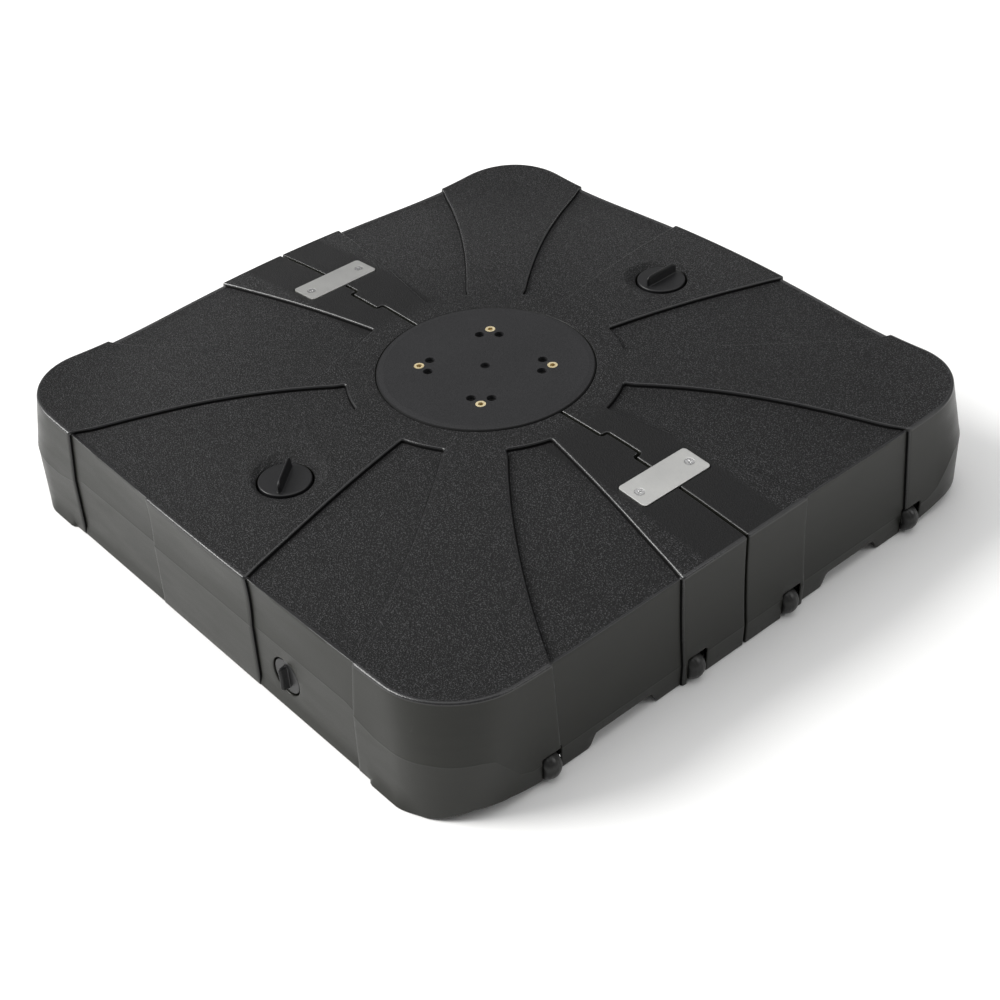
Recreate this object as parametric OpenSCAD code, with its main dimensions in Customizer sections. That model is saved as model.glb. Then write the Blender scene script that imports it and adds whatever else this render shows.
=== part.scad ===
// Fillable parasol base: two hollow plastic tank halves, joined by a round hub
// plate and two metal link plates. Units mm, origin at the centre of the
// footprint on the floor, +Z up, the seam between the halves runs along X.

/* [Overall] */
// Width across the parting line of the side walls
base_w = 900; // [880:5:940]
// Height of the hub plate's top face above the floor
base_h = 184; // [176:2:200]
// Radius of the footprint's corners at the parting line
corner_r = 90; // [70:5:110]
// Height of the parting line in the side walls
parting_h = 92; // [80:2:104]
// How far the wall leans in from the parting line up to the deck's edge
lean_up = 8; // [4:1:12]
// How far the wall leans in from the parting line down to the floor
lean_down = 1; // [0:0.5:3]
// Wall thickness of the tanks
wall = 5.5; // [4:0.5:7]
// Gap between the two halves
seam_gap = 2; // [0.6:0.2:2.4]

/* [Deck] */
// Radius of the flat middle of the deck
flat_r = 180; // [170:5:190]
// Radius of curvature of the crown around it
crown_r = 1921; // [1800:10:2100]
// Depth of the eight sunk panels
panel_depth = 5; // [3:0.5:7]
// Depth of the panels where they run down the walls
wall_panel_depth = 4; // [3:0.5:6]
// Key tab of the seam, inner and outer end along X and its reach across the seam
tab_in = 211; // [205:1:220]
tab_out = 267; // [260:1:275]
tab_reach = 10; // [6:1:12]

/* [Hub] */
// Hub plate radius
hub_r = 139.5; // [135:0.5:140]
// Hub plate thickness
hub_t = 14; // [12:1:18]
// Width of the shallow bevel around the hub plate
hub_rim = 8.5; // [4:0.5:10]
// Gap between the hub plate and its seat
hub_gap = 0.8; // [0.5:0.1:2]
// Half the side of the square of mast inserts
insert_pos = 60; // [50:1:70]
// Radius of an insert
insert_r = 6.5; // [6:0.5:8]
// Core radius of the insert's M8 thread
insert_core = 3.4; // [3.3:0.1:4]
// Offset of the hub screws beside the inserts
screw_pos = 42; // [38:1:44]

/* [Link plates] */
// Distance of a link plate's centre from the middle
link_x = 317; // [310:1:325]
// Width along X
link_w = 45; // [40:1:50]
// Length across the seam
link_l = 110; // [100:1:120]
// Thickness
link_t = 4; // [3:0.5:5]
// Screw distance from the seam
link_screw = 41; // [36:1:43]

/* [Fill caps] */
// Distance of a cap's centre from the seam
cap_y = 315; // [310:1:325]
// Cap radius
cap_r = 32.5; // [30:0.5:35]
// Height of the cap's flat face above the floor
cap_z = 174; // [170:0.5:175]
// Radius of the threaded stem
cap_stem = 25; // [20:1:27]
// Length of the finger blade
blade_l = 55; // [45:1:58]
// Height of the finger blade
blade_h = 15; // [10:1:16]
// Thickness of the finger blade at its foot
blade_foot = 6.5; // [4:0.5:9]
// Thickness of the finger blade at its crest
blade_crest = 3; // [2:0.2:5]
// Angle of the dish around a cap against the horizontal
dish_slope = 15; // [8:0.5:20]
// Angle of the blade on the front cap
blade_turn_front = -50; // [-90:5:90]
// Angle of the blade on the back cap
blade_turn_back = 91; // [0:1:180]

/* [Drain plugs] */
// Distance of the plug from the middle along the wall
drain_x = 158; // [140:2:180]
// Height of the plug above the floor
drain_z = 48; // [44:1:52]
// Plug radius
drain_r = 23; // [20:0.5:25]

/* [Wheels] */
// Distance of the inner wheels from the seam
wheel_in = 80; // [70:1:90]
// Distance of the outer wheels from the seam
wheel_out = 304; // [295:1:310]
// Distance of the axles from the middle
axle_x = 441; // [434:1:442]
// Wheel radius at its middle
wheel_r = 18; // [16:0.5:18]
// Wheel radius at its ends
wheel_end_r = 13; // [11:0.5:15]
// Wheel width
wheel_w = 24; // [20:1:26]
// Axle radius
axle_r = 3; // [2.5:0.5:4]
// Width of the pocket around a wheel
pocket_w = 31; // [28:1:34]

/* [Hidden] */

half = base_w / 2;
corner_c = half - corner_r;
big = 2 * base_w;
eps = 0.01;

deck_z = base_h - 2;
edge_h = 160;
cone_r = 400;
rim_r = 482;
rim_steps = 4;
rim_step = 19;
rim_lift = 0.0013;
far_r = 700;
top_cut = 10;
crown_steps = 10;
crown_drop = (cone_r - flat_r) * (cone_r - flat_r) / (2 * crown_r);
crown_slope = asin((cone_r - flat_r) / crown_r);

hub_floor = base_h - hub_t;
seat_r = hub_r + hub_gap;
under_seat = hub_floor - wall;
groove_w = 5;
groove_d = 2.5;

panel_r = 1313;
panel_cx = 1027.2;
panel_cy = -881.7;
panel_near = 46;
panel_mid = 102;
panel_far = 291;
panel_edge = 437;

floor_t = 10;
band_x = 295;
band_rise = 1;
arch_in = 140;
arch_out = 245;
arch_h = 17.5;
arch_ramp = 10;
arch_depth = 60;
pad_out = 335;
pad_in = 40;
pad_h = 30;
pad_proud = 0.6;
pad_edge = 3;
toe_from = 310;
toe_to = 352;
toe_h = 14;
toe_proud = 6;
lift_from = 434;
lift_top = 404;
lift_mid = 366;
lift_low = 345;
lift_h = 15;
lift_x = 396;

link_slope = asin((link_x - flat_r) / crown_r);
link_proud = 0.8;
link_z = deck_z - (link_x - flat_r) * (link_x - flat_r) / (2 * crown_r) + link_proud;
link_gap = 0.5;
link_screw_r = 3;
link_head_r = 6;
link_bush_r = 5.5;
link_key_r = 2.3;
link_screw_l = 26;
link_bush_l = 20;

shank_r = 3;
shank_l = 24;
head_r = 5;
head_l = 4;
key_r = 2.9;
counterbore_r = 6.2;
counterbore_l = 9;
hub_bush_r = 5;
hub_bush_l = 18;
dimple_r = 6.5;
dimple_l = 6;
hub_bevel = 1;
hub_edge = 1.5;
boss_r = 13;
boss_l = 30;
fit_gap = 0.05;
hole_gap = 0.3;
socket_l = 2.5;

dish_r = cap_r + 2.5;
dish_z = cap_z - 2.6;
dish_rise = 13;
blade_round = 9;
cap_t = 9;
cap_edge = 2;
seal_t = 3;
cap_seat = cap_z - cap_t - seal_t;
stem_gap = 0.4;
cap_stem_l = 19;
neck_l = 22;
neck_wall = 6;
thread_pitch = 4;
thread_depth = 1.5;

drain_face = half - lean_down - wall_panel_depth + lean_down * drain_z / parting_h;
drain_t = 5;
drain_seal_t = 2;
drain_gap = 2;
drain_seat = drain_face - drain_t - drain_seal_t;
drain_stem = 17;
drain_stem_l = 17;
drain_boss_r = 30;
drain_boss_l = 32;
drain_blade_l = 34;
drain_blade_h = 11;
drain_blade_foot = 8;
drain_blade_crest = 4;
drain_blade_round = 5;
drain_edge = 1.5;

axle_z = wheel_r + 0.5;
axle_l = pocket_w + 16;
axle_gap = 0.05;
pocket_depth = 22;
pocket_h = axle_z + wheel_r + 1.5;
wheel_gap = 0.05;
wheel_spots = [-wheel_out, -wheel_in, wheel_in, wheel_out];

// Half width of the side wall at three heights, moved in by an inset
function wall_profile(inset, low) = [
  [half - lean_down + lean_down * low / parting_h - inset, low],
  [half - inset, parting_h],
  [half - lean_up * (base_h + top_cut - parting_h) / (edge_h - parting_h) - inset, base_h + top_cut]
];

// Section of the crowned deck, lowered by an amount
module crown_section(drop, low) {
  top = deck_z - drop;
  step = (cone_r - flat_r) / crown_steps;
  edge = top - crown_drop + cone_r * tan(crown_slope);
  polygon(concat(
    [[0, low], [0, top]],
    [for (i = [0 : crown_steps]) [flat_r + i * step, top - i * i * step * step / (2 * crown_r)]],
    [for (i = [0 : rim_steps])
      [rim_r + i * rim_step,
       edge - (rim_r + i * rim_step) * tan(crown_slope) + rim_lift * pow(i * rim_step, 2)]],
    [[far_r, edge - rim_r * tan(crown_slope)], [far_r, low]]
  ));
}

// Body of the closed base without panels, moved in all round
module block(inset, drop, low) {
  intersection() {
    union() {
      for (turn = [0, 90]) rotate([0, 0, turn]) {
        rotate([90, 0, 0]) linear_extrude(height = 2 * corner_c, center = true)
          polygon(concat(
            wall_profile(inset, low),
            [for (i = [2 : -1 : 0]) [-wall_profile(inset, low)[i][0], wall_profile(inset, low)[i][1]]]
          ));
      }
      for (turn = [0, 90, 180, 270]) rotate([0, 0, turn])
        translate([corner_c, corner_c, 0]) rotate_extrude(angle = 90, $fn = 64)
          polygon(concat(
            [[0, base_h + top_cut], [0, low]],
            [for (p = wall_profile(inset, low)) [p[0] - corner_c, p[1]]]
          ));
    }
    rotate_extrude($fn = 128) crown_section(drop, low);
  }
}

// Outline of one sunk panel, beside the +X axis on the +Y side
module panel_outline() {
  difference() {
    intersection() {
      polygon([
        [flat_r - 20, panel_near - 20 * (panel_mid - panel_near) / (half - flat_r)],
        [panel_edge + 5, panel_mid],
        [panel_edge + 5, panel_far],
        [flat_r - 60, panel_far]
      ]);
      translate([panel_cx, panel_cy]) circle(r = panel_r, $fn = 96);
    }
    circle(r = flat_r - 2, $fn = 96);
  }
  translate([panel_edge, panel_mid]) square([80, panel_far - panel_mid]);
}

// All eight sunk panels in plan
module panels() {
  for (turn = [0, 90, 180, 270]) rotate([0, 0, turn]) {
    panel_outline();
    mirror([0, 1]) panel_outline();
  }
}

// Line of the seam in plan, as a band of a given width
module seam_band(w) {
  ends = [-base_w, -tab_out, -tab_in, tab_in, tab_out, base_w];
  steps = [0, -tab_reach, 0, tab_reach, 0];
  for (i = [0 : 4])
    translate([ends[i] - w / 2, steps[i] - w / 2]) square([ends[i + 1] - ends[i] + w, w]);
  for (i = [1 : 4])
    translate([ends[i] - w / 2, min(steps[i], steps[i - 1])]) square([w, tab_reach]);
}

// Plan of the front half, up to the middle of the seam
module front_plan() {
  polygon([
    [-base_w, -base_w], [base_w, -base_w], [base_w, 0], [tab_out, 0],
    [tab_out, tab_reach], [tab_in, tab_reach], [tab_in, 0], [-tab_in, 0],
    [-tab_in, -tab_reach], [-tab_out, -tab_reach], [-tab_out, 0], [-base_w, 0]
  ]);
}

// Raised pad around a wheel pocket, at the foot of the +X wall and moved in by an inset
module foot_pad(y_from, y_to, inset) {
  face = half - lean_down + pad_proud - inset;
  translate([0, y_to, 0]) rotate([90, 0, 0]) linear_extrude(height = y_to - y_from)
    polygon([
      [half - arch_depth, 0], [face, 0], [face, pad_h],
      [face - pad_proud - 1, pad_h + pad_edge], [half - arch_depth, pad_h + pad_edge]
    ]);
}

// Toe that thickens the foot of the -Y wall beside a corner, on the +X side
module toe() {
  translate([toe_from, 0, 0]) rotate([90, 0, 90]) linear_extrude(height = toe_to - toe_from)
    polygon([
      [arch_depth - half, 0], [lean_down - half - toe_proud, 0],
      [lean_down - half, toe_h], [arch_depth - half, toe_h]
    ]);
}

// Relief under the corner, rising from the toe towards the outer wheel
module corner_lift() {
  translate([lift_x, 0, 0]) rotate([90, 0, 90]) linear_extrude(height = half - lift_x + 20)
    polygon([
      [-lift_from, -1], [-lift_from, 0], [-lift_top, lift_h], [-lift_mid, lift_h - 1], [-lift_low, lift_h - 6],
      [pocket_w / 2 - wheel_out, 4.5], [pocket_w / 2 - wheel_out, -1]
    ]);
}

module bored(r, z_from, z_to) {
  translate([0, 0, z_from]) cylinder(r = r, h = z_to - z_from, $fn = 48);
}

// Places children at the screws of the hub plate that lie over the front half
module at_hub_screws(front_only) {
  for (sx = [-1, 1]) for (sy = front_only ? [-1] : [-1, 1]) {
    translate([sx * insert_pos, sy * screw_pos, 0]) children();
    translate([sx * screw_pos, sy * insert_pos, 0]) children();
  }
}

// Frame of a link plate: origin in the middle of its top face, lying with the deck
module at_link(side) {
  translate([side * link_x, 0, link_z]) rotate([0, side * link_slope, 0]) children();
}

module at_wheel(side, y) {
  translate([side * axle_x, y, axle_z]) rotate([90, 0, 0]) children();
}

// Frame of the front drain plug: +Z points out of the wall
module at_front_drain() {
  translate([drain_x, 0, drain_z]) rotate([90, 0, 0]) children();
}

// Hollow of the front half
module hollow() {
  difference() {
    block(wall + wall_panel_depth, wall + panel_depth, floor_t);
    translate([-base_w, -groove_w / 2 - wall, -1]) cube([big, base_w, big]);
    translate([-tab_out - wall, -tab_reach - groove_w / 2 - wall, -1])
      cube([tab_out - tab_in + 2 * wall, base_w, big]);
    bored(seat_r + wall, under_seat, base_h);
    at_hub_screws(true) bored(boss_r, hub_floor - boss_l, base_h);
    for (side = [-1, 1]) {
      at_link(side) translate([0, -link_screw, -link_screw_l - 10])
        cylinder(r = link_bush_r + wall, h = 60, $fn = 48);
      for (y = [-wheel_out, -wheel_in])
        translate([side * axle_x, y, 0])
          cube([2 * pocket_depth + 2 * wall, axle_l + 8, 2 * (pocket_h + wall)], center = true);
      translate([side * half, -(arch_in + arch_out) / 2, 0])
        cube([2 * (arch_depth + wall), arch_out - arch_in + 2 * wall, 2 * (arch_h + wall)],
             center = true);
    }
    translate([0, -cap_y, 0]) {
      bored(cap_stem + stem_gap + neck_wall, cap_seat - neck_l, base_h);
      bored(dish_r + neck_wall, cap_seat - neck_wall, base_h);
    }
    at_front_drain() bored(drain_boss_r, drain_seat - drain_boss_l + 7, half);
  }
}

// Cut-outs of the underside that show at the bottom edge of the front half
module bottom_relief() {
  translate([-band_x, -base_w, -1]) cube([2 * band_x, base_w + 50, band_rise + 1]);
  for (side = [0, 1]) mirror([side, 0, 0]) corner_lift();
  for (side = [-1, 1]) {
    translate([side * (half - arch_depth / 2), -(arch_in + arch_out) / 2, 0])
      rotate([90, 0, 90])
        linear_extrude(height = arch_depth + 40, center = true)
          polygon([
            [-(arch_out - arch_in) / 2, -1],
            [-(arch_out - arch_in) / 2, 0],
            [-(arch_out - arch_in) / 2 + arch_ramp, arch_h],
            [(arch_out - arch_in) / 2 - arch_ramp, arch_h],
            [(arch_out - arch_in) / 2, 0],
            [(arch_out - arch_in) / 2, -1]
          ]);
  }
}

// Pocket of one wheel with the slots its axle snaps into from below
module wheel_pocket(side, y) {
  translate([side * axle_x, y, 0]) {
    cube([2 * pocket_depth, pocket_w, 2 * pocket_h], center = true);
    translate([0, 0, axle_z / 2 - 1])
      cube([2 * axle_r - 0.6, axle_l + 1, axle_z + 2], center = true);
  }
  at_wheel(side, y) cylinder(r = axle_r + axle_gap, h = axle_l + 1, center = true, $fn = 32);
}

module tank_front() {
  color([0.05, 0.05, 0.055])
  difference() {
    intersection() {
      union() {
        block(wall_panel_depth, panel_depth, 0);
        difference() {
          block(0, 0, 0);
          translate([0, 0, -1]) linear_extrude(height = big) panels();
        }
        for (side = [0, 1]) mirror([side, 0, 0]) {
          foot_pad(-pad_out, -panel_far, 0);
          foot_pad(-panel_far, -arch_out, wall_panel_depth);
          foot_pad(-arch_in, -panel_mid, wall_panel_depth);
          foot_pad(-panel_mid, -pad_in, 0);
          toe();
        }
      }
      translate([0, 0, -1]) linear_extrude(height = big) front_plan();
    }
    hollow();
    translate([0, 0, -1]) linear_extrude(height = big) seam_band(seam_gap);
    difference() {
      translate([0, 0, -1]) linear_extrude(height = big) seam_band(groove_w);
      block(groove_d, groove_d, -2);
    }
    bottom_relief();
    bored(seat_r, hub_floor, base_h + 1);
    at_hub_screws(true) bored(hub_bush_r, hub_floor - hub_bush_l, base_h);
    at_hub_screws(true) bored(shank_r + 0.5, hub_floor - boss_l + 4, base_h);
    for (side = [-1, 1]) {
      at_link(side) {
        linear_extrude(height = 40)
          square([link_w + 2 * link_gap, link_l + 2 * link_gap], center = true);
        translate([0, 0, -link_t]) linear_extrude(height = 40)
          square([link_w + 2 * link_gap, link_l + 2 * link_gap], center = true);
        translate([0, -link_screw, -link_t - link_bush_l])
          cylinder(r = link_bush_r, h = 30, $fn = 48);
        translate([0, -link_screw, -link_screw_l - 4])
          cylinder(r = link_screw_r + 0.5, h = 30, $fn = 48);
      }
      for (y = [-wheel_out, -wheel_in]) wheel_pocket(side, y);
    }
    translate([0, -cap_y, 0]) {
      bored(cap_stem + stem_gap, cap_seat - neck_l - 1, base_h);
      bored(dish_r, cap_seat, base_h);
      translate([0, 0, dish_z])
        cylinder(r1 = dish_r, r2 = dish_r + dish_rise / tan(dish_slope), h = dish_rise, $fn = 64);
    }
    at_front_drain() {
      bored(drain_stem + stem_gap, drain_seat - drain_boss_l, half);
      bored(drain_r + drain_gap, drain_seat, half);
    }
  }
}

module tank_back() {
  rotate([0, 0, 180]) tank_front();
}

module hub_plate() {
  color([0.04, 0.04, 0.045])
  difference() {
    translate([0, 0, hub_floor]) rotate_extrude($fn = 128)
      polygon([
        [0, 0], [hub_r, 0], [hub_r, hub_t - hub_bevel - hub_edge],
        [hub_r - 0.45 * hub_edge, hub_t - hub_bevel - 0.45 * hub_edge],
        [hub_r - hub_edge, hub_t - hub_bevel], [hub_r - hub_rim, hub_t], [0, hub_t]
      ]);
    for (sx = [-1, 1]) for (sy = [-1, 1]) translate([sx * insert_pos, sy * insert_pos, 0])
      bored(insert_r, base_h - 12, base_h + 1);
    at_hub_screws(false) {
      bored(counterbore_r, base_h - counterbore_l, base_h + 1);
      bored(shank_r + 0.4, hub_floor - 1, base_h);
    }
    translate([0, 0, base_h - dimple_l])
      cylinder(r1 = dimple_r - 1, r2 = dimple_r, h = dimple_l + eps, $fn = 32);
  }
}

module hub_inserts() {
  color([0.72, 0.55, 0.28])
  for (sx = [-1, 1]) for (sy = [-1, 1]) translate([sx * insert_pos, sy * insert_pos, base_h - 12])
    difference() {
      cylinder(r = insert_r, h = 12, $fn = 48);
      translate([0, 0, -1]) cylinder(r = insert_core, h = 14, $fn = 48);
    }
}

module hub_screw() {
  top = base_h - counterbore_l;
  difference() {
    union() {
      bored(head_r, top, top + head_l);
      bored(shank_r, top - shank_l, top + eps);
    }
    translate([0, 0, top + head_l - socket_l]) cylinder(r = key_r, h = head_l, $fn = 6);
  }
}

module hub_screws() {
  color([0.1, 0.1, 0.1])
  at_hub_screws(false) hub_screw();
}

module hub_bushes() {
  color([0.7, 0.55, 0.3])
  at_hub_screws(false) difference() {
    bored(hub_bush_r, hub_floor - hub_bush_l, hub_floor - 0.2);
    bored(shank_r + fit_gap, hub_floor - hub_bush_l - 1, hub_floor + 1);
  }
}

module link_plate(side) {
  color([0.75, 0.75, 0.73])
  at_link(side) difference() {
    translate([0, 0, -link_t]) linear_extrude(height = link_t) union() {
      square([link_w - 10, link_l], center = true);
      square([link_w, link_l - 10], center = true);
      for (sx = [-1, 1]) for (sy = [-1, 1])
        translate([sx * (link_w / 2 - 5), sy * (link_l / 2 - 5)]) circle(r = 5, $fn = 32);
    }
    for (sy = [-1, 1]) translate([0, sy * link_screw, 0]) {
      translate([0, 0, -link_t - 1]) cylinder(r = link_screw_r + hole_gap, h = 10, $fn = 48);
      translate([0, 0, link_screw_r - link_head_r - hole_gap])
        cylinder(r1 = link_screw_r, r2 = link_head_r + hole_gap,
                 h = link_head_r - link_screw_r + hole_gap, $fn = 48);
    }
  }
}

module link_screw() {
  difference() {
    union() {
      translate([0, 0, -link_screw_l]) cylinder(r = link_screw_r, h = link_screw_l, $fn = 48);
      translate([0, 0, link_screw_r - link_head_r])
        cylinder(r1 = link_screw_r, r2 = link_head_r, h = link_head_r - link_screw_r, $fn = 48);
    }
    translate([0, 0, -socket_l]) cylinder(r = link_key_r, h = socket_l + 1, $fn = 6);
  }
}

module link_screws() {
  color([0.8, 0.8, 0.8])
  for (side = [-1, 1]) at_link(side)
    for (sy = [-1, 1]) translate([0, sy * link_screw, 0]) link_screw();
}

module link_bushes() {
  color([0.7, 0.55, 0.3])
  for (side = [-1, 1]) at_link(side)
    for (sy = [-1, 1]) translate([0, sy * link_screw, -link_t - link_bush_l]) difference() {
      cylinder(r = link_bush_r, h = link_bush_l - 0.2, $fn = 48);
      translate([0, 0, -1]) cylinder(r = link_screw_r + fit_gap, h = link_bush_l + 2, $fn = 48);
    }
}

// Finger blade standing on z = 0, long along X, narrowing upwards
module blade(len, tall, foot, crest, round_r) {
  intersection() {
    rotate([90, 0, 0]) linear_extrude(height = 2 * foot, center = true) union() {
      translate([-len / 2, -2]) square([len, tall - round_r + 2]);
      translate([-len / 2 + round_r, 0]) square([len - 2 * round_r, tall]);
      for (s = [-1, 1]) translate([s * (len / 2 - round_r), tall - round_r])
        circle(r = round_r, $fn = 48);
    }
    rotate([90, 0, 90]) linear_extrude(height = 2 * len, center = true) union() {
      polygon([
        [-foot / 2, -2], [foot / 2, -2], [crest / 2, tall - crest / 2], [-crest / 2, tall - crest / 2]
      ]);
      translate([0, tall - crest / 2]) circle(r = crest / 2, $fn = 32);
    }
  }
}

// Cap on its stem, top face at z = 0
module cap_body() {
  rotate_extrude($fn = 96) difference() {
    union() {
      translate([0, -cap_t]) square([cap_r, cap_t - cap_edge]);
      translate([0, -cap_t]) square([cap_r - cap_edge, cap_t]);
      translate([cap_r - cap_edge, -cap_edge]) circle(r = cap_edge, $fn = 32);
      translate([0, -cap_t - cap_stem_l]) square([cap_stem - thread_depth, cap_stem_l + 1]);
      for (i = [0 : 3])
        translate([0, -cap_t - cap_stem_l + 1 + i * thread_pitch])
          polygon([[0, 0], [cap_stem - thread_depth, 0], [cap_stem, 1], [cap_stem, 1.8],
                   [cap_stem - thread_depth, 2.8], [0, 2.8]]);
    }
    translate([-1, -cap_t - cap_stem_l - 1]) square([cap_stem - 6 + 1, cap_stem_l - 1]);
    translate([-60, -60]) square([60, 120]);
  }
}

module fill_cap(turn) {
  color([0.03, 0.03, 0.033])
  translate([0, -cap_y, cap_z]) union() {
    cap_body();
    rotate([0, 0, turn]) blade(blade_l, blade_h, blade_foot, blade_crest, blade_round);
  }
}

module fill_cap_front() {
  fill_cap(blade_turn_front);
}

module fill_cap_back() {
  rotate([0, 0, 180]) fill_cap(blade_turn_back);
}

module fill_seal_front() {
  color([0.1, 0.1, 0.1])
  translate([0, -cap_y, cap_seat]) difference() {
    cylinder(r = cap_r - 1, h = seal_t, $fn = 64);
    translate([0, 0, -1]) cylinder(r = cap_stem + 0.5, h = seal_t + 2, $fn = 64);
  }
}

module fill_seal_back() {
  rotate([0, 0, 180]) fill_seal_front();
}

module drain_plug_front() {
  color([0.03, 0.03, 0.033])
  at_front_drain() union() {
    rotate_extrude($fn = 96) difference() {
      union() {
        translate([0, drain_face - drain_t]) square([drain_r, drain_t - drain_edge]);
        translate([0, drain_face - drain_t]) square([drain_r - drain_edge, drain_t]);
        translate([drain_r - drain_edge, drain_face - drain_edge]) circle(r = drain_edge, $fn = 32);
        translate([0, drain_seat - drain_stem_l]) square([drain_stem - 1, drain_stem_l + 3]);
        for (i = [0 : 3])
          translate([0, drain_seat - drain_stem_l + 1 + 4 * i])
            polygon([[0, 0], [drain_stem - 1, 0], [drain_stem, 0.8], [drain_stem, 1.4],
                     [drain_stem - 1, 2.2], [0, 2.2]]);
      }
      translate([-1, drain_seat - drain_stem_l - 1]) square([drain_stem - 5 + 1, drain_stem_l]);
      translate([-60, 0]) square([60, base_w]);
    }
    translate([0, 0, drain_face]) rotate([0, 0, 90])
      blade(drain_blade_l, drain_blade_h, drain_blade_foot, drain_blade_crest, drain_blade_round);
  }
}

module drain_plug_back() {
  rotate([0, 0, 180]) drain_plug_front();
}

module drain_seal_front() {
  color([0.1, 0.1, 0.1])
  at_front_drain() difference() {
    bored(drain_r - 1, drain_seat, drain_seat + drain_seal_t);
    bored(drain_stem + 0.5, drain_seat - 1, drain_seat + drain_seal_t + 1);
  }
}

module drain_seal_back() {
  rotate([0, 0, 180]) drain_seal_front();
}

module wheel(side, y) {
  bulge = wheel_r - wheel_end_r;
  arc_r = (wheel_w * wheel_w / 4 + bulge * bulge) / (2 * bulge);
  color([0.06, 0.06, 0.06])
  at_wheel(side, y) rotate_extrude($fn = 96) difference() {
    intersection() {
      translate([wheel_r - arc_r, 0]) circle(r = arc_r, $fn = 96);
      translate([0, -wheel_w / 2]) square([wheel_r + 1, wheel_w]);
    }
    translate([-60, -60]) square([60 + axle_r + wheel_gap, 120]);
  }
}

module axle(side, y) {
  color([0.6, 0.6, 0.6])
  at_wheel(side, y) cylinder(r = axle_r, h = axle_l, center = true, $fn = 32);
}

tank_front();
tank_back();
hub_plate();
hub_inserts();
hub_screws();
hub_bushes();
link_plate(1);  // link_plate_right
link_plate(-1);  // link_plate_left
link_screws();
link_bushes();
fill_cap_front();
fill_cap_back();
fill_seal_front();
fill_seal_back();
drain_plug_front();
drain_plug_back();
drain_seal_front();
drain_seal_back();
wheel(1, wheel_spots[0]);  // wheel_right_1
wheel(1, wheel_spots[1]);  // wheel_right_2
wheel(1, wheel_spots[2]);  // wheel_right_3
wheel(1, wheel_spots[3]);  // wheel_right_4
wheel(-1, wheel_spots[3]);  // wheel_left_1
wheel(-1, wheel_spots[2]);  // wheel_left_2
wheel(-1, wheel_spots[1]);  // wheel_left_3
wheel(-1, wheel_spots[0]);  // wheel_left_4
axle(1, wheel_spots[0]);  // axle_right_1
axle(1, wheel_spots[1]);  // axle_right_2
axle(1, wheel_spots[2]);  // axle_right_3
axle(1, wheel_spots[3]);  // axle_right_4
axle(-1, wheel_spots[3]);  // axle_left_1
axle(-1, wheel_spots[2]);  // axle_left_2
axle(-1, wheel_spots[1]);  // axle_left_3
axle(-1, wheel_spots[0]);  // axle_left_4
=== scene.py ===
import math

import bmesh
import bpy
import numpy as np
from mathutils import Matrix, Vector
from mathutils.geometry import delaunay_2d_cdt


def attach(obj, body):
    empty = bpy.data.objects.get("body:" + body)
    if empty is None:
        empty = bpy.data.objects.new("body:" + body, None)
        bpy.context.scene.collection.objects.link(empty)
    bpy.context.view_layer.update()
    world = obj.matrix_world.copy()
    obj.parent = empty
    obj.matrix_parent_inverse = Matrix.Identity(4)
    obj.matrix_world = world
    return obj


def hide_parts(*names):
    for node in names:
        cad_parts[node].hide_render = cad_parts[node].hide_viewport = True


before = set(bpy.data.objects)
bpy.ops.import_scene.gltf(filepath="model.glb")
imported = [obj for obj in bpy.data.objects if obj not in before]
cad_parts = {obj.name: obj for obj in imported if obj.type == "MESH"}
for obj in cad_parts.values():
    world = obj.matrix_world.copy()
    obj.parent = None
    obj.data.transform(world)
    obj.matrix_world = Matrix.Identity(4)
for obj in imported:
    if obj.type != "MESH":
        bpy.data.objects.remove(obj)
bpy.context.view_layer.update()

MM = 0.001

# ---------------- dimensions, mm
EDGE = 442.0          # half width where deck and wall meet
CORNER_C = 344.0      # centre of the deck edge's corner arcs
FOOT_C, FOOT_R = 360.0, 90.0   # corner arcs of the wall below
EDGE_Z = 160.0        # nominal height of the deck's edge
LEAN_UP = 8.0         # lean of the wall from the deck's edge down to the parting line
HALF = 450.0          # half width at the parting line
FOOT_X = 448.2        # half width at the foot of the X walls
DECK_Z = 182.0        # deck height beside the hub plate
FLAT_R = 180.0        # the deck is level inside this radius
CROWN_R = 1921.0      # radius of the crown's arc
CONE_R = 400.0        # the crown runs straight outside this radius
EDGE_ROUND = 4.0      # rounding of the deck's edge
FOOT_ROUND = 2.5      # rounding of the bottom edge
PANEL_D, WALL_D = 5.0, 4.0     # depth of the sunk panels in the deck and in the walls
STEP_TOP, STEP_FOOT = 1.7, 0.8     # a panel's step, outside and inside its outline
STEP_SHADE_W = 0.7       # width of the painted shade at the foot of a step
BOW_X, BOW_Y = 6.0, 8.0    # how far the deck's edge bows out in the middle of a side
BOW_REACH = 300.0     # the bow ends this far from the middle of a side
BOW_IN = 75.0         # width of the deck that follows the bow
SEAM_GAP = 1.9        # half width of the gap between the tank halves
SEAM_ROUND = 1.4
TAB_IN, TAB_OUT, TAB_REACH = 211.0, 267.0, 10.0
STRIP = 62.0          # width of the underside that is part of the skin
FAR = 760.0           # beyond every point of the layout
HUB_SEAT_R = 140.3
HUB_LEDGE_R = 132.0   # the ledge under the hub plate reaches in to here
CAP_Y, CAP_Z, DISH_Z, DISH_R = 315.0, 174.0, 171.4, 35.0
DISH_SLOPE = math.tan(math.radians(27.0))
DISH_REACH = 95.0     # the dish is worked out inside this radius
DRAIN_X, DRAIN_Z, DRAIN_R = 158.0, 48.0, 25.0
DRAIN_FACE = 445.52
WHEELS = (80.0, 304.0)
AXLE_X, AXLE_Z = 441.0, 18.5
WHEEL_SHIFT = 2.5     # the barrels sit this far off the middle of their pockets
POCKET_W, POCKET_H, POCKET_BACK, POCKET_FRONT = 31.0, 38.0, 419.0, 444.5
LINK_X, LINK_W, LINK_L = 317.0, 45.0, 110.0
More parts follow.
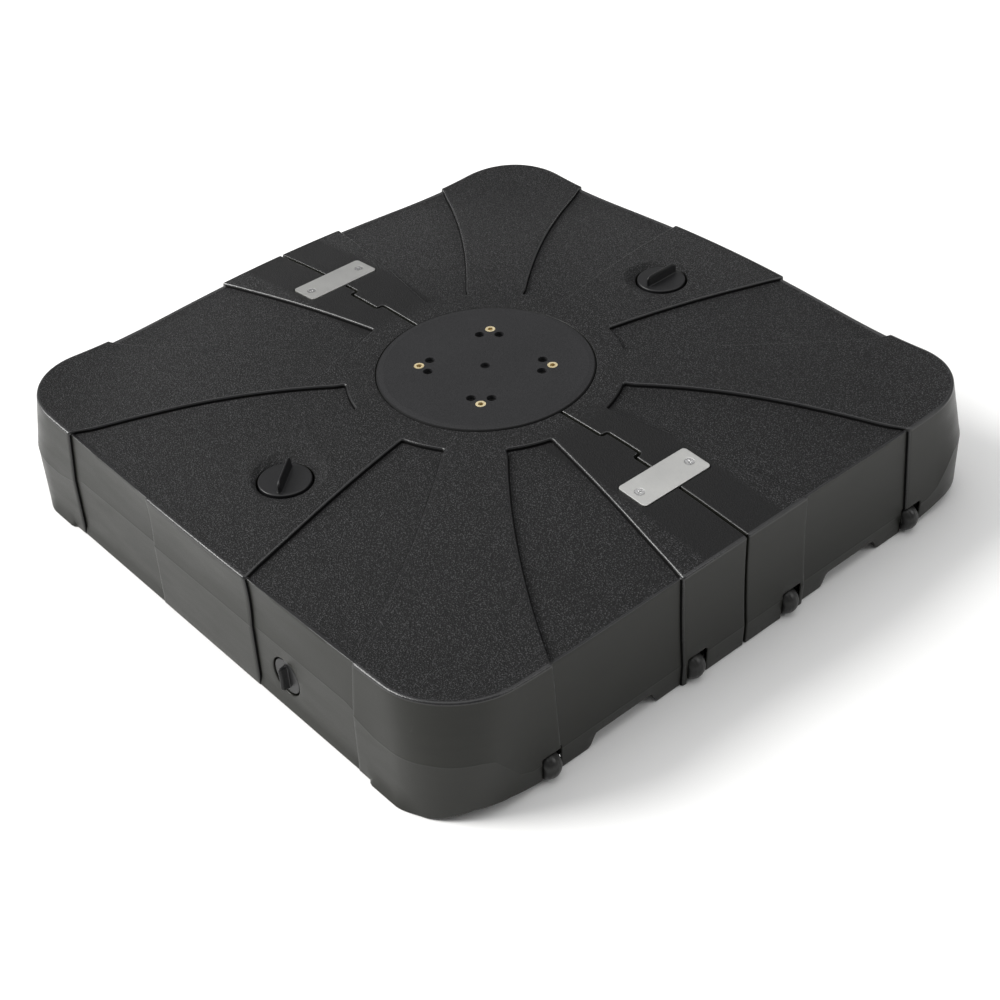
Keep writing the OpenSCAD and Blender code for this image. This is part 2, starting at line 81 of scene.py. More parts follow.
LINK_PLAY = 0.7
# how deep the sides of each opening are drawn
HUB_WALL, SEAM_WALL, CAP_WALL, DRAIN_WALL, LINK_WALL = 13.0, 14.0, 11.0, 6.5, 5.0
LEDGE_FROM = 12.0     # openings deeper than this get a ledge below
# what a face of a tank half is, kept in its "zone" attribute
ZONE_PLAIN, ZONE_STEP, ZONE_RIM, ZONE_STEP_SHADE = 0, 1, 2, 4


# ---------------- small helpers
def crown(r):
    """Height of the deck at radius r: level, then an arc, then straight."""
    k = CONE_R - FLAT_R
    far = DECK_Z - k * k / (2 * CROWN_R) - (r - CONE_R) * k / CROWN_R
    far = far + 0.0014 * np.maximum(r - 482, 0) ** 2      # the corners turn up a little
    mid = DECK_Z - (r - FLAT_R) ** 2 / (2 * CROWN_R)
    return np.where(r < FLAT_R, DECK_Z, np.where(r < CONE_R, mid, far))


def along(c, n):
    """Distance round the outline from the middle of a Y wall to the middle of an X wall."""
    ax, ay = np.abs(c[:, 0]), np.abs(c[:, 1])
    ang = np.arctan2(np.abs(n[:, 0]), np.abs(n[:, 1]))
    r = EDGE - CORNER_C
    s = np.where(np.abs(n[:, 1]) > 0.9999, np.minimum(ax, CORNER_C), CORNER_C + r * ang)
    return np.where(np.abs(n[:, 0]) > 0.9999, CORNER_C + r * math.pi / 2 + CORNER_C - ay, s)


# the parting line: distance along the outline, and height there
PART_S = (0, 275, 305, 330, 355, 400, 450, 464, 479, 491, 509, 842)
PART_H = (91, 91, 82, 77, 78, 84, 84, 80, 59, 41, 32.5, 32.5)


def part_z(c, n):
    """Height of the parting line round the outline."""
    return np.interp(along(c, n), PART_S, PART_H)


def bow(c, n):
    """Outward bow of the deck's edge, largest in the middle of each side."""
    on_x = np.abs(n[:, 0]) > np.abs(n[:, 1])
    lat = np.where(on_x, np.abs(c[:, 1]), np.abs(c[:, 0]))
    return np.where(on_x, BOW_X, BOW_Y) * np.clip(1 - (lat / BOW_REACH) ** 2, 0, 1) ** 1.5


def wall_u(z, c, n):
    """Outward position of the wall at height z, from the deck's edge line."""
    hp = part_z(c, n)
    t = np.clip((EDGE_Z - z) / (EDGE_Z - hp), -0.6, 1.0)
    side = np.abs(n[:, 0]) ** 2
    low = (3.5 * side - 1.7) * np.clip((hp - z) / hp, 0, 1)
    u = LEAN_UP * t - low + bow(c, n) * np.clip(1 - t, 0, 1) ** 2
    # the corner's arc is tighter at the foot than at the deck
    k = FOOT_C - CORNER_C
    wide, far = HALF - CORNER_C, np.abs(n).sum(1)
    lead = k * far + np.sqrt(np.maximum(k * k * far * far - 2 * k * k + FOOT_R * FOOT_R, 0))
    nmax = np.abs(n).max(1)
    flat = wide / nmax
    tang = np.sqrt(np.maximum(1 / nmax ** 2 - 1, 0)) * wide
    bulge = np.where(tang < k, flat, lead) - wide
    u = u + bulge * np.clip(t, 0, 1)
    ridge = 0.14 * np.exp(-((z - hp) / 0.8) ** 2)
    return u + ridge


def smooth(x):
    """Soft step from 0 to 1."""
    x = np.clip(x, 0.0, 1.0)
    return x * x * (3 - 2 * x)


def round_drop(s, rho):
    """Depth of a quarter-round edge at distance s inside it."""
    q = np.clip(rho - s, 0.0, rho)
    return rho - np.sqrt(np.maximum(rho * rho - q * q, 0.0))


def seg_dist(P, poly, closed):
    """Unsigned distance from points P (n,2) to a polyline."""
    A = poly if closed else poly[:-1]
    B = np.roll(poly, -1, axis=0) if closed else poly[1:]
    best = np.full(len(P), 1e9)
    for a, b in zip(A, B):
        ab = b - a
        L = float(ab @ ab)
        if L < 1e-12:
            continue
        k = np.clip(((P - a) @ ab) / L, 0, 1)
        d = P - (a + k[:, None] * ab)
        best = np.minimum(best, np.hypot(d[:, 0], d[:, 1]))
    return best


def inside(P, poly):
    """Even-odd test."""
    x, y = P[:, 0], P[:, 1]
    odd = np.zeros(len(P), bool)
    for a, b in zip(poly, np.roll(poly, -1, axis=0)):
        cross = (a[1] > y) != (b[1] > y)
        with np.errstate(divide="ignore", invalid="ignore"):
            xi = (b[0] - a[0]) * (y - a[1]) / (b[1] - a[1]) + a[0]
        odd ^= cross & (x < xi)
    return odd


def spaced(poly, step, closed=False):
    """A polyline with extra points so that no span is longer than step."""
    pts = list(poly) + ([poly[0]] if closed else [])
    out = []
    for a, b in zip(pts[:-1], pts[1:]):
        a, b = np.asarray(a, float), np.asarray(b, float)
        n = max(1, int(math.ceil(np.linalg.norm(b - a) / step)))
        out += [a + (b - a) * i / n for i in range(n)]
    if not closed:
        out.append(np.asarray(pts[-1], float))
    return np.array(out)


def rounded(poly, radii, closed, steps=5):
    """Polyline with its corners replaced by arcs of the given radii."""
    pts = [np.asarray(p, float) for p in poly]
    n = len(pts)
    out = []
    for i in range(n):
        r = radii[i] if hasattr(radii, "__len__") else radii
        if not closed and i in (0, n - 1):
            out.append(pts[i])
            continue
        a, b, c = pts[i - 1], pts[i], pts[(i + 1) % n]
        u, v = (a - b) / np.linalg.norm(a - b), (c - b) / np.linalg.norm(c - b)
        ang = math.acos(max(-1, min(1, float(u @ v))))
        if r <= 0 or ang > math.pi - 0.02:
            out.append(b)
            continue
        t = r / math.tan(ang / 2)
        p, q = b + u * t, b + v * t
        m = (u + v) / np.linalg.norm(u + v)
        o = b + m * (r / math.sin(ang / 2))
        a0 = math.atan2(*(p - o)[::-1])
        a1 = math.atan2(*(q - o)[::-1])
        d = (a1 - a0 + math.pi) % (2 * math.pi) - math.pi
        out += [o + r * np.array([math.cos(a0 + d * k / steps), math.sin(a0 + d * k / steps)])
                for k in range(steps + 1)]
    return np.array(out)


def offset(poly, d, closed):
    """Polyline moved sideways by d, to its left when d is positive."""
    n = len(poly)
    out = []
    for i in range(n):
        if closed:
            a, c = poly[i - 1], poly[(i + 1) % n]
        else:
            a, c = poly[max(i - 1, 0)], poly[min(i + 1, n - 1)]
        b = poly[i]
        e0 = b - a if np.linalg.norm(b - a) > 1e-9 else c - b
        e1 = c - b if np.linalg.norm(c - b) > 1e-9 else b - a
        e0 = e0 / np.linalg.norm(e0)
        e1 = e1 / np.linalg.norm(e1)
        m = e0 + e1
        m = m / np.linalg.norm(m)
        nrm = np.array([-m[1], m[0]])
        k = 1.0 / max(0.5, float(np.array([-e0[1], e0[0]]) @ nrm))
        out.append(b + nrm * d * k)
    return np.array(out)


def bezier(a, b, c, t):
    return (1 - t) ** 2 * a + 2 * t * (1 - t) * b + t ** 2 * c


def out_from(c, n, u, z):
    """Points at height z, u outward from the edge points c."""
    return np.concatenate([c + n * u[:, None], z[:, None]], 1)


def circle_pts(cx, cy, r, n):
    a = np.arange(n) * 2 * math.pi / n
    return np.stack([cx + r * np.cos(a), cy + r * np.sin(a)], 1)


class Lines:
    """Collects the constraint lines of a triangulation."""

    def __init__(self):
        self.v, self.e = [], []

    def add(self, poly, closed=False, keep=None):
        n = len(poly)
        ok = np.ones(n, bool) if keep is None else keep(poly)
        base = len(self.v)
        self.v += [tuple(map(float, p)) for p in poly]
        for i in range(n if closed else n - 1):
            j = (i + 1) % n
            if ok[i] and ok[j]:
                self.e.append((base + i, base + j))

    def points(self, pts):
        self.v += [tuple(map(float, p)) for p in pts]

    def triangles(self, keep):
        """Points and anticlockwise triangles, where keep() says so of a triangle's centre."""
        vs, _, fs, *_ = delaunay_2d_cdt([Vector(p) for p in self.v], self.e, [], 0, 1e-4)
        P = np.array([(v[0], v[1]) for v in vs])
        F = np.array([list(f) for f in fs])
        C = P[F].mean(axis=1)
        F = F[keep(C)]
        e1, e2 = P[F[:, 1]] - P[F[:, 0]], P[F[:, 2]] - P[F[:, 0]]
        area = e1[:, 0] * e2[:, 1] - e1[:, 1] * e2[:, 0]
        F[area < 0] = F[area < 0][:, ::-1]
        F = F[np.abs(area) > 1e-7]
        live = np.unique(F)
        back = -np.ones(len(P), int)
        back[live] = np.arange(len(live))
        return P[live], back[F]


def linked(name, data):
    ob = bpy.data.objects.new(name, data)
    bpy.context.scene.collection.objects.link(ob)
    return ob


def build(name, verts, faces, sharp=32.0, zones=None):
    """Mesh object from mm coordinates, smooth shaded, with sharp edges marked."""
    me = bpy.data.meshes.new(name)
    me.from_pydata([tuple(float(c) * MM for c in v) for v in verts], [],
                   [tuple(int(i) for i in f) for f in faces])
    if zones is not None:
        me.attributes.new("zone", "INT", "FACE").data.foreach_set("value", zones)
    me.validate()
    ob = linked(name, me)
    bm = bmesh.new()
    bm.from_mesh(me)
    bmesh.ops.remove_doubles(bm, verts=bm.verts, dist=2e-6)
    bmesh.ops.dissolve_degenerate(bm, edges=bm.edges, dist=1e-6)
    bm.normal_update()
    lim = math.radians(sharp)
    for f in bm.faces:
        f.smooth = True
    for e in bm.edges:
        if len(e.link_faces) == 2 and e.calc_face_angle(0) > lim:
            e.smooth = False
    bm.to_mesh(me)
    bm.free()
    return ob


# ---------------- the skin of a tank half
# The outside of a half is laid out flat: inside the deck's edge line a point of the layout
# is its own plan position, and past the edge line it runs down the wall and then under it.
def layout(P):
    """Edge distance, edge point and outward direction of layout points."""
    q = np.abs(P) - CORNER_C
    sg = np.where(P < 0, -1.0, 1.0)
    both = np.maximum(q, 0)
    ln = np.hypot(both[:, 0], both[:, 1])
    d = ln + np.minimum(np.maximum(q[:, 0], q[:, 1]), 0) - (EDGE - CORNER_C)
    n = np.zeros_like(P)
    out = ln > 1e-9
    n[out] = both[out] / ln[out, None]
    flat = ~out
    wide = q[:, 0] > q[:, 1]
    n[flat & wide, 0] = 1.0
    n[flat & ~wide, 1] = 1.0
    n = n * sg
    return d, P - n * d[:, None], n


def edge_z(c):
    """Height of the deck's edge line."""
    return crown(np.hypot(c[:, 0], c[:, 1]))


def foot_z(c, n):
    """Height of the bottom edge round the outline."""
    side = np.abs(n[:, 0]) > 0.999
    front = np.abs(n[:, 1]) > 0.999
    y, x = np.abs(c[:, 1]), np.abs(c[:, 0])
    arch = 17.5 * np.minimum(smooth((y - 139) / 12), smooth((247 - y) / 12))
    band = 0.15 * smooth((306 - x) / 5)
    yo = np.abs(c[:, 1] + 8 * n[:, 1])
    lift = np.interp(yo, (0, 303, 304, 345, 366, 385, 404, 420, 436), (0, 0, 3, 9, 14, 15, 15, 8, 0))
    lift = np.where(np.abs(n[:, 0]) > 0.3, lift, 0.0)
    return np.where(side & (y < 300), arch, np.where(front, band, lift))


def toe_out(c, n, z):
    """How far the toes under the Y walls stand proud, beside the corners."""
    s = along(c, n)
    w = smooth((s - 312) / 6) * smooth((388 - s) / 30)
    return 4.6 * w * np.clip(1 - z / 13.0, 0, 1)


def sink(S, n, z):
    """Depth of the panels down the wall: on the Y walls they run out at the foot."""
    front = np.abs(n[:, 1]) > 0.9
    return WALL_D * S * np.where(front, 0.15 + 0.85 * smooth(z / 15), 1.0)


def lay(lateral, z, face):
    """Layout point of a place on a wall: face is the outward direction, lateral runs along it."""
    lateral, z = np.asarray(lateral, float), np.asarray(z, float)
    t = crown(np.hypot(lateral, EDGE)) - z
    if face[0]:
        return np.stack([face[0] * (EDGE + t), lateral], 1)
    return np.stack([lateral, face[1] * (EDGE + t)], 1)


def panel_outline():
    """Outline of the sunk panel beside +X on the +Y side, open at the foot of the wall."""
    a0, a1 = math.radians(14.5), math.radians(33.3)
    inner = [(178 * math.cos(a0 + (a1 - a0) * k / 8), 178 * math.sin(a0 + (a1 - a0) * k / 8))
             for k in range(9)]
    cx, cy, R = 1027.2, -881.7, 1313.0
    b0 = math.atan2(inner[-1][1] - cy, inner[-1][0] - cx)
    b1 = math.atan2(291 - cy, 437 - cx)
    outer = [(cx + R * math.cos(b0 + (b1 - b0) * k / 24), cy + R * math.sin(b0 + (b1 - b0) * k / 24))
             for k in range(1, 25)]
    pts = [(FAR, 102), (442, 102)] + inner + outer + [(445, 292.2), (FAR, 292.2)]
    rad = [0, 40] + [4] + [0] * 7 + [4] + [0] * 26
    return rounded(pts, rad, False, 6)


PANEL = spaced(panel_outline(), 6.0)


def all_panels():
    """The eight sunk panels: two beside each half axis, mirror images of each other."""
    out = []
    for k in range(4):
        c, s = round(math.cos(k * math.pi / 2)), round(math.sin(k * math.pi / 2))
        R = np.array([[c, -s], [s, c]], float)
        for m in (1, -1):
            p = PANEL * np.array([1, m])
            if m < 0:
                p = p[::-1]
            out.append(p @ R.T)
    return out


PANELS = all_panels()


def sunk(P):
    """0 on the raised bands, 1 inside the sunk panels."""
    S = np.zeros(len(P))
    for p in PANELS:
        idx = np.where((P > p.min(0) - 9).all(1) & (P < p.max(0) + 9).all(1))[0]
        if not len(idx):
            continue
        Q = P[idx]
        d = seg_dist(Q, p, False)
        d = np.where(inside(Q, p), d, -d)
        t = np.clip((d + STEP_TOP) / (STEP_TOP + STEP_FOOT), 0, 1)
        S[idx] = np.maximum(S[idx], 1 - np.sqrt(1 - t * t))
    return S


def panel_depth(P):
    """Distance to the nearest panel outline."""
    return np.min([seg_dist(P, p, False) for p in PANELS if p[:, 1].min() < 20], axis=0)


def seam_path():
    """The seam between the halves, from -X to +X."""
    pts = [(-FAR, 0), (-TAB_OUT, 0), (-TAB_OUT, -TAB_REACH), (-TAB_IN, -TAB_REACH), (-TAB_IN, 0),
           (TAB_IN, 0), (TAB_IN, TAB_REACH), (TAB_OUT, TAB_REACH), (TAB_OUT, 0), (FAR, 0)]
    return spaced(rounded(pts, 3.5, False, 5), 6.0)


SEAM = seam_path()
SEAM_EDGE = offset(SEAM, -SEAM_GAP, False)
FRONT_AREA = np.vstack([SEAM_EDGE, [(FAR, -FAR), (-FAR, -FAR)]])


def dish_rim(n=72):
    """Plan outline where the dish round the front cap meets the deck."""
    out = []
    for k in range(n):
        a = 2 * math.pi * k / n
        r = 45.0
        for _ in range(30):
            x, y = r * math.cos(a), -CAP_Y + r * math.sin(a)
            r = DISH_R + max(float(crown(np.array(math.hypot(x, y)))) - DISH_Z, 0.3) / DISH_SLOPE
        out.append(r)
    a = 2 * math.pi * np.arange(n) / n
    return np.array(out), a


def link_hole():
    w, l = LINK_W / 2 + LINK_PLAY, LINK_L / 2 + LINK_PLAY
    return rounded([(LINK_X - w, -l), (LINK_X + w, -l), (LINK_X + w, l), (LINK_X - w, l)], 5.5, True, 5)


def pocket_hole(side, y):
    """Layout outline of a wheel pocket in the wall and the underside."""
    lat = np.array([y - POCKET_W / 2, y + POCKET_W / 2])
    top = lay(lat, [POCKET_H, POCKET_H], (side, 0))
    low = lay(lat, [0, 0], (side, 0))
    low[:, 0] += side * (FOOT_X - POCKET_BACK)
    return rounded([top[0], low[0], low[1], top[1]], 2.5, True, 4)


def drain_hole(r=DRAIN_R, n=64):
    a = 2 * math.pi * np.arange(n) / n
    return lay(DRAIN_X + r * np.cos(a), DRAIN_Z + r * np.sin(a), (0, -1))


# outline and edge rounding of every opening
HOLES = {
    "hub": (circle_pts(0, 0, HUB_SEAT_R, 180), 1.2),
    "link_r": (spaced(link_hole(), 8, True), 1.2),
    "link_l": (spaced(link_hole() * np.array([-1, 1]), 8, True), 1.2),
    "cap": (circle_pts(0, -CAP_Y, DISH_R, 72), 1.0),
    "drain": (drain_hole(), 1.5),
}
for _s in (1, -1):
    for _y in WHEELS:
        HOLES[f"pocket_{_s}_{_y}"] = (spaced(pocket_hole(_s, -_y), 6, True), 1.6)


def skin(P):
    """Surface points of the front half for layout points, and the outward direction there."""
    d, c, n = layout(P)
    S = sunk(P)
    ze = edge_z(c)
    rho = EDGE_ROUND
    zb = foot_z(c, n)
    # deck
    out = bow(c, n)
    pull = WALL_D * S * smooth((d + 28) / (28 - rho)) - out * smooth((d + BOW_IN) / (BOW_IN - rho))
    u_deck = np.minimum(d, -rho) - pull
    xy = np.where((d < -rho)[:, None], P - n * pull[:, None], c + n * u_deck[:, None])
    xy_deck = np.where((d < -BOW_IN - 1)[:, None], P, xy)
    z_deck = crown(np.hypot(xy_deck[:, 0], xy_deck[:, 1])) - PANEL_D * S
    # dish round the fill cap
    rc = np.hypot(P[:, 0], P[:, 1] + CAP_Y)
    cone = DISH_Z + (rc - DISH_R) * DISH_SLOPE
    k = 0.9
    h = np.clip(0.5 + 0.5 * (cone - z_deck) / k, 0, 1)
    z_dish = cone * (1 - h) + z_deck * h - k * h * (1 - h)
    z_deck = np.where(rc < DISH_REACH, z_dish, z_deck)
    up = np.array([0.0, 0.0, 1.0])
    pos = np.concatenate([xy_deck, z_deck[:, None]], 1)
    nrm = np.tile(up, (len(P), 1))
    n3 = np.concatenate([n, np.zeros((len(P), 1))], 1)
    # wall and its rounded top edge
    z_wall = ze - d
    u_wall = wall_u(z_wall, c, n) - sink(S, n, z_wall) + toe_out(c, n, z_wall)
    wall = out_from(c, n, u_wall, z_wall)
    on_wall = d >= rho
    pos[on_wall] = wall[on_wall]
    nrm[on_wall] = n3[on_wall]
    e = (d > -rho) & (d < rho)
    t = ((d + rho) / (2 * rho))[:, None]
    A = out_from(c, n, out - rho - WALL_D * S, np.zeros(len(P)))
    A[:, 2] = crown(np.hypot(A[:, 0], A[:, 1])) - PANEL_D * S
    Cc = out_from(c, n, wall_u(ze, c, n) - WALL_D * S, ze - PANEL_D * S)
    B = out_from(c, n, wall_u(ze - rho, c, n) - WALL_D * S, ze - rho)
    Cc[:, 2] = np.maximum(Cc[:, 2], B[:, 2] + 0.8)
    pos[e] = bezier(A, Cc, B, t)[e]
    nn = (1 - t) * up + t * n3
    nn = nn / np.linalg.norm(nn, axis=1)[:, None]
    nrm[e] = nn[e]
    # bottom edge and underside
    tb = ze - zb
    rf = FOOT_ROUND
    f = (d > tb - rf)
    tt = np.clip((d - (tb - rf)) / (2 * rf), 0, 1)[:, None]
    ub = wall_u(zb, c, n) - sink(S, n, zb) + toe_out(c, n, zb)
    ua = wall_u(zb + rf, c, n) - sink(S, n, zb + rf) + toe_out(c, n, zb + rf)
    bez = bezier(out_from(c, n, ua, zb + rf), out_from(c, n, ub, zb), out_from(c, n, ub - rf, zb), tt)
    under = d > tb + rf
    in_arch = (np.abs(n[:, 0]) > 0.999) & (np.abs(c[:, 1]) < 300)
    zu = np.where(in_arch, zb, zb * smooth((STRIP - 12 - (d - tb)) / 30))
    flat = out_from(c, n, ub - (d - tb), zu)
    pos[f] = bez[f]
    pos[under] = flat[under]
    nn = (1 - tt) * n3 - tt * up
    nn = nn / np.linalg.norm(nn, axis=1)[:, None]
    nrm[f] = nn[f]
    # quarter-round edges at the seam and at every opening
    s = seg_dist(P, SEAM_EDGE, False)
    drop = round_drop(s, SEAM_ROUND)
    for poly, rr in HOLES.values():
        near = (P > poly.min(0) - 5).all(1) & (P < poly.max(0) + 5).all(1)
        idx = np.where(near)[0]
        if len(idx):
            drop[idx] = np.maximum(drop[idx], round_drop(seg_dist(P[idx], poly, True), rr))
    return pos - nrm * drop[:, None], nrm


def frame_lines(step):
    """Function that gives the deck's edge line, moved outward by t, as points of the layout."""
    def ring(t):
        r = EDGE - CORNER_C + t
        pts = []
        n = max(14, int(r * math.pi / 2 / step))
        for k in range(4):
            cx, cy = [(1, 1), (-1, 1), (-1, -1), (1, -1)][k]
            for i in range(n + 1):
                a = math.pi / 2 * (k + i / n)
                pts.append((cx * CORNER_C + r * math.cos(a), cy * CORNER_C + r * math.sin(a)))
        return spaced(pts, step, True)
    return ring


def tank_mesh():
    """The skin of the front half: vertices, faces and the zone of each face."""
    L = Lines()
    in_front = lambda p: p[:, 1] < 30
    # seam and its quarter-round
    for o in (0.0, 0.2, 0.5, 0.8, SEAM_ROUND, 3.5):
        L.add(spaced(offset(SEAM_EDGE, -o, False), 6))
    # sunk panels
    for p in PANELS:
        if p[:, 1].min() > 20:
            continue
        for t in (0, 0.3, 0.52, 0.7, 0.84, 0.94, 1.0):
            L.add(offset(p, t * (STEP_TOP + STEP_FOOT) - STEP_TOP, False), keep=in_front)
        for o in (STEP_FOOT + STEP_SHADE_W, 5.0, -5.0):
            L.add(offset(p, o, False), keep=in_front)
    # openings
    for poly, rr in HOLES.values():
        for o in (0.0, 0.08, 0.3, 0.6, 1.0):
            L.add(offset(poly, -rr * o if area2(poly) > 0 else rr * o, True), True, keep=in_front)
    # dish
    rr, a = dish_rim()
    for k in (-3.0, -1.2, 0.0, 1.2, 3.0, 7.0):
        q = np.maximum(rr + k, DISH_R + 3.5 + 0.3 * k)
        L.add(np.stack([q * np.cos(a), -CAP_Y + q * np.sin(a)], 1), True)
    # rounded top edge, then lines along the wall
    ring = frame_lines(9.0)
    for t in (-30, -18, -9, -EDGE_ROUND, -3.0, -2.0, -1.0, 0, 1.0, 2.0, 3.0, EDGE_ROUND, 9):
        L.add(ring(t), True, keep=in_front)
    base = ring(0.0)
    _, c, n = layout(base)
    for z in (60.0, 120.0):
        L.add(c + n * (edge_z(c) - z)[:, None], True, keep=in_front)
    fine = frame_lines(4.0)(0.0)
    _, cf, nf = layout(fine)
    zef, zbf = edge_z(cf), foot_z(cf, nf)
    for k in (-2.2, -1.3, -0.65, 0.0, 0.65, 1.3, 2.2):
        L.add(cf + nf * (zef - part_z(cf, nf) - k)[:, None], True, keep=in_front)
    rf = FOOT_ROUND
    for k in (-1.0, -0.6, -0.2, 0.2, 0.6, 1.0):
        L.add(cf + nf * (zef - zbf + rf * k)[:, None], True, keep=in_front)
    L.add(cf + nf * (zef - zbf + STRIP)[:, None], True, keep=in_front)
    # plain points between
    g = np.arange(-720, 721, 13.0)
    X, Y = np.meshgrid(g, g[g < 10])
    G = np.stack([X.ravel(), Y.ravel()], 1)
    d, cg, ng = layout(G)
    lim = edge_z(cg) - foot_z(cg, ng) + STRIP
    ok = (d < lim) & inside(G, FRONT_AREA) & (seg_dist(G, SEAM_EDGE, False) > 7)
    for p in PANELS:
        ok &= seg_dist(G, p, False) > 7
    for poly, _ in HOLES.values():
        ok &= seg_dist(G, poly, True) > 6
    ok &= ~((d > -12) & (d < 10))
    L.points(G[ok])

    def keep(C):
        dd, cc, nn = layout(C)
        m = inside(C, FRONT_AREA)
        m &= dd < edge_z(cc) - foot_z(cc, nn) + STRIP
        for poly, _ in HOLES.values():
            m &= ~inside(C, poly)
        return m

    P, F = L.triangles(keep)
    pos, nrm = skin(P)
    verts = [tuple(p) for p in pos]
    faces = [tuple(f) for f in F]
    mid = P[F].mean(axis=1)
    level_in = sunk(mid)
    d_mid = layout(mid)[0]
    zone = np.where((level_in > 0.01) & (level_in < 0.5), ZONE_STEP, ZONE_PLAIN)
    # faces at the foot of a step get a near-black material: painted shade in the crease
    foot = np.where(panel_depth(mid) < STEP_FOOT + STEP_SHADE_W, ZONE_STEP_SHADE, ZONE_PLAIN)
    zone = np.where(level_in >= 0.5, foot, zone)
    rims = (np.abs(d_mid) < EDGE_ROUND) | ((seg_dist(mid, SEAM_EDGE, False) < SEAM_ROUND) & (d_mid < 0))
    zone = np.where(rims, ZONE_RIM, zone)
    # borders of the skin turn into the body
    count = {}
    for f in faces:
        for a_, b_ in ((f[0], f[1]), (f[1], f[2]), (f[2], f[0])):
            count[(a_, b_)] = count.get((a_, b_), 0) + 1
    border = [e_ for e_ in count if (e_[1], e_[0]) not in count]
    depth = {}
    sides = [(SEAM_WALL, SEAM_EDGE, False), (CAP_WALL, HOLES["cap"][0], True),
             (DRAIN_WALL, HOLES["drain"][0], True), (LINK_WALL, HOLES["link_r"][0], True),
             (LINK_WALL, HOLES["link_l"][0], True)]
    for e_ in border:
        m = ((P[e_[0]] + P[e_[1]]) / 2)[None]
        if abs(float(np.hypot(*m[0])) - HUB_SEAT_R) < 1.0:
            depth[e_] = HUB_WALL
            continue
        for wall, line, closed in sides:
            if seg_dist(m, line, closed)[0] < 0.4:
                depth[e_] = wall
                break
    new = {}

    def inner(i, dist):
        key = (i, dist)
        if key not in new:
            new[key] = len(verts)
            verts.append(tuple(np.array(verts[i]) - nrm[i] * dist))
        return new[key]

    # ledges close the seam and the gap round the hub plate from below
    ledge = {}

    def ledge_point(i, dist):
        key = (i, dist)
        if key not in ledge:
            base = inner(i, dist)
            if dist == HUB_WALL:
                to = P[i] * (HUB_LEDGE_R / np.hypot(*P[i]))
            else:
                to = nearest(P[i], SEAM)
            ledge[key] = len(verts)
            verts.append(tuple(np.array(verts[base]) + [*(to - P[i]), 0.0]))
        return ledge[key]

    for (a_, b_), dist in depth.items():
        faces.append((b_, a_, inner(a_, dist), inner(b_, dist)))
        if dist > LEDGE_FROM:
            faces.append((inner(b_, dist), inner(a_, dist), ledge_point(a_, dist), ledge_point(b_, dist)))
    zones = [int(k_) for k_ in zone] + [ZONE_PLAIN] * (len(faces) - len(zone))
    return verts, faces, zones


def nearest(p, poly):
    """Closest point of a polyline."""
    best, at = 1e9, p
    for a, b in zip(poly[:-1], poly[1:]):
        ab = b - a
        k = min(max(float((p - a) @ ab) / float(ab @ ab), 0.0), 1.0)
        q = a + k * ab
        d = float(np.hypot(*(p - q)))
        if d < best:
            best, at = d, q
    return at


def area2(poly):
    x, y = poly[:, 0], poly[:, 1]
    return float(np.sum(x * np.roll(y, -1) - np.roll(x, -1) * y))


def extra_parts():
    """Insides of the wheel pockets and the middle of the underside, front half."""
    verts, faces = [], []
    b, lift = 300, 1.2      # half width and height of the raised middle

    def quad(*pts):
        k = len(verts)
        verts.extend(pts)
        faces.append(tuple(range(k, k + len(pts))))

    def mirrored(s, pts):
        """A face given for +X, turned over where it is on the -X side."""
        quad(*(pts if s > 0 else pts[::-1]))

    for s in (1, -1):
        for y in WHEELS:
            y0, y1 = -y - POCKET_W / 2, -y + POCKET_W / 2
            xb, xf, h = s * POCKET_BACK, s * POCKET_FRONT, POCKET_H
            box = [((xb, y0, lift), (xb, y1, lift), (xb, y1, h), (xb, y0, h)),
                   ((xb, y0, h), (xb, y1, h), (xf, y1, h), (xf, y0, h)),
                   ((xb, y0, lift), (xb, y0, h), (xf, y0, h), (xf, y0, lift)),
                   ((xb, y1, h), (xb, y1, lift), (xf, y1, lift), (xf, y1, h))]
            for q in box:
                mirrored(s, q)
        # inner end of the lifting arch
        xa = s * (FOOT_X - STRIP - WALL_D + 1.2)
        mirrored(s, ((xa, -250, 0), (xa, -136, 0), (xa, -136, 18), (xa, -250, 18)))
        # step up to the raised middle of the underside
        xi = s * b
        mirrored(s, ((xi, -386, 0), (xi, -386, lift), (xi, -SEAM_GAP, lift), (xi, -SEAM_GAP, 0)))
    w = FOOT_X - STRIP + 1.5
    quad((-b, -SEAM_GAP, lift), (b, -SEAM_GAP, lift), (b, -w, lift), (-b, -w, lift))
    z = 0.02
    for s in (1, -1):
        mirrored(s, [(s * b, -SEAM_GAP, z), (s * w, -SEAM_GAP, z), (s * w, -w + 26, z),
                     (s * (w - 8), -w + 8, z), (s * (w - 26), -w, z), (s * b, -w, z)])
    return verts, faces


def tank(name, node, turn):
    """One half: the skin with its extra parts, turned by 180 degrees for the back."""
    v, f, zones = SHELL
    v2, f2 = extra_parts()
    n = len(v)
    vv = np.array(list(v) + list(v2), float)
    if turn:
        vv[:, :2] *= -1
    ff = list(f) + [tuple(i + n for i in q) for q in f2]
    ob = build(name, vv, ff, 32.0, zones + [ZONE_PLAIN] * len(f2))
    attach(ob, "base")
    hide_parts(node)
    return ob


SHELL = tank_mesh()
front = tank("tank_front_shell", "tank_front", False)
back = tank("tank_back_shell", "tank_back", True)


# ---------------- caps, plugs, wheels, plates
def grid_faces(rows, cols, wrap=False):
    out = []
    for i in range(rows - 1):
        for j in range(cols if wrap else cols - 1):
            k = (j + 1) % cols
            a, b = i * cols + j, i * cols + k
            out.append((a, b, b + cols, a + cols))
    return out


